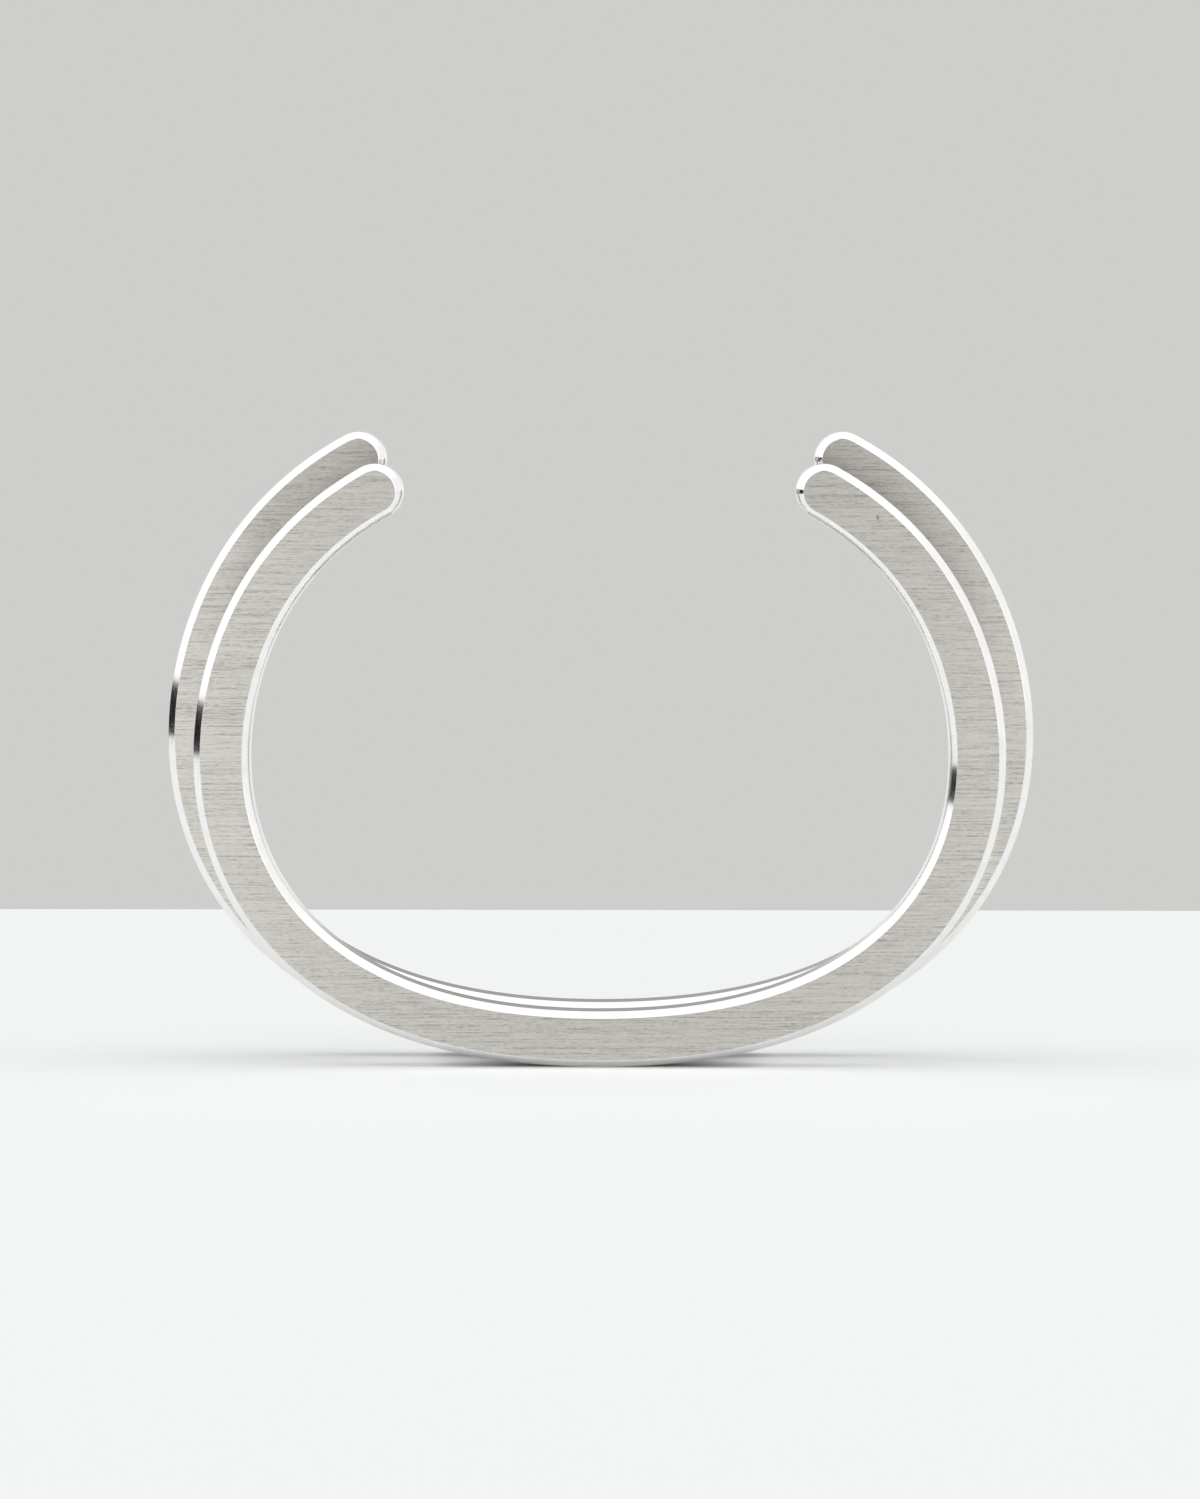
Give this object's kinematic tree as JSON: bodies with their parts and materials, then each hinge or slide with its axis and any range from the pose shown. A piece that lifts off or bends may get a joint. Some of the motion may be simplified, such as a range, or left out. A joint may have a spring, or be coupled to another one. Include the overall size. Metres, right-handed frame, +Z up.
{
  "type": "horseshoe cuff bracelet",
  "caption": "Open horseshoe-form wrist cuff: two flat steel rails with round tips, bevelled edges and brushed faces, joined over the bow by a recessed bridge.",
  "frame": {"origin": "bottom centre of the bounding box: the point under the middle of the bow, on the surface the cuff stands on, midway between the front and rear faces", "axes": "+X across the cuff to the right when seen from the front, +Y along the wrist from the smaller front rail to the larger rear rail, +Z up towards the open mouth"},
  "size_m": [0.0704, 0.0092, 0.0511],
  "materials": {
    "brushed_rail": "straight horizontal brushed flat faces, polished 45 degree bevels, satin edges",
    "bridge_steel": "fine milled, unpolished, hidden between the rails",
    "pin_steel": "ground dowel pin"
  },
  "bodies": {
    "root": {"front_rail": "brushed_rail", "rear_rail": "brushed_rail", "bow_bridge": "bridge_steel", "dowel_pin_left": "pin_steel", "dowel_pin_right": "pin_steel"}
  },
  "joints": []
}
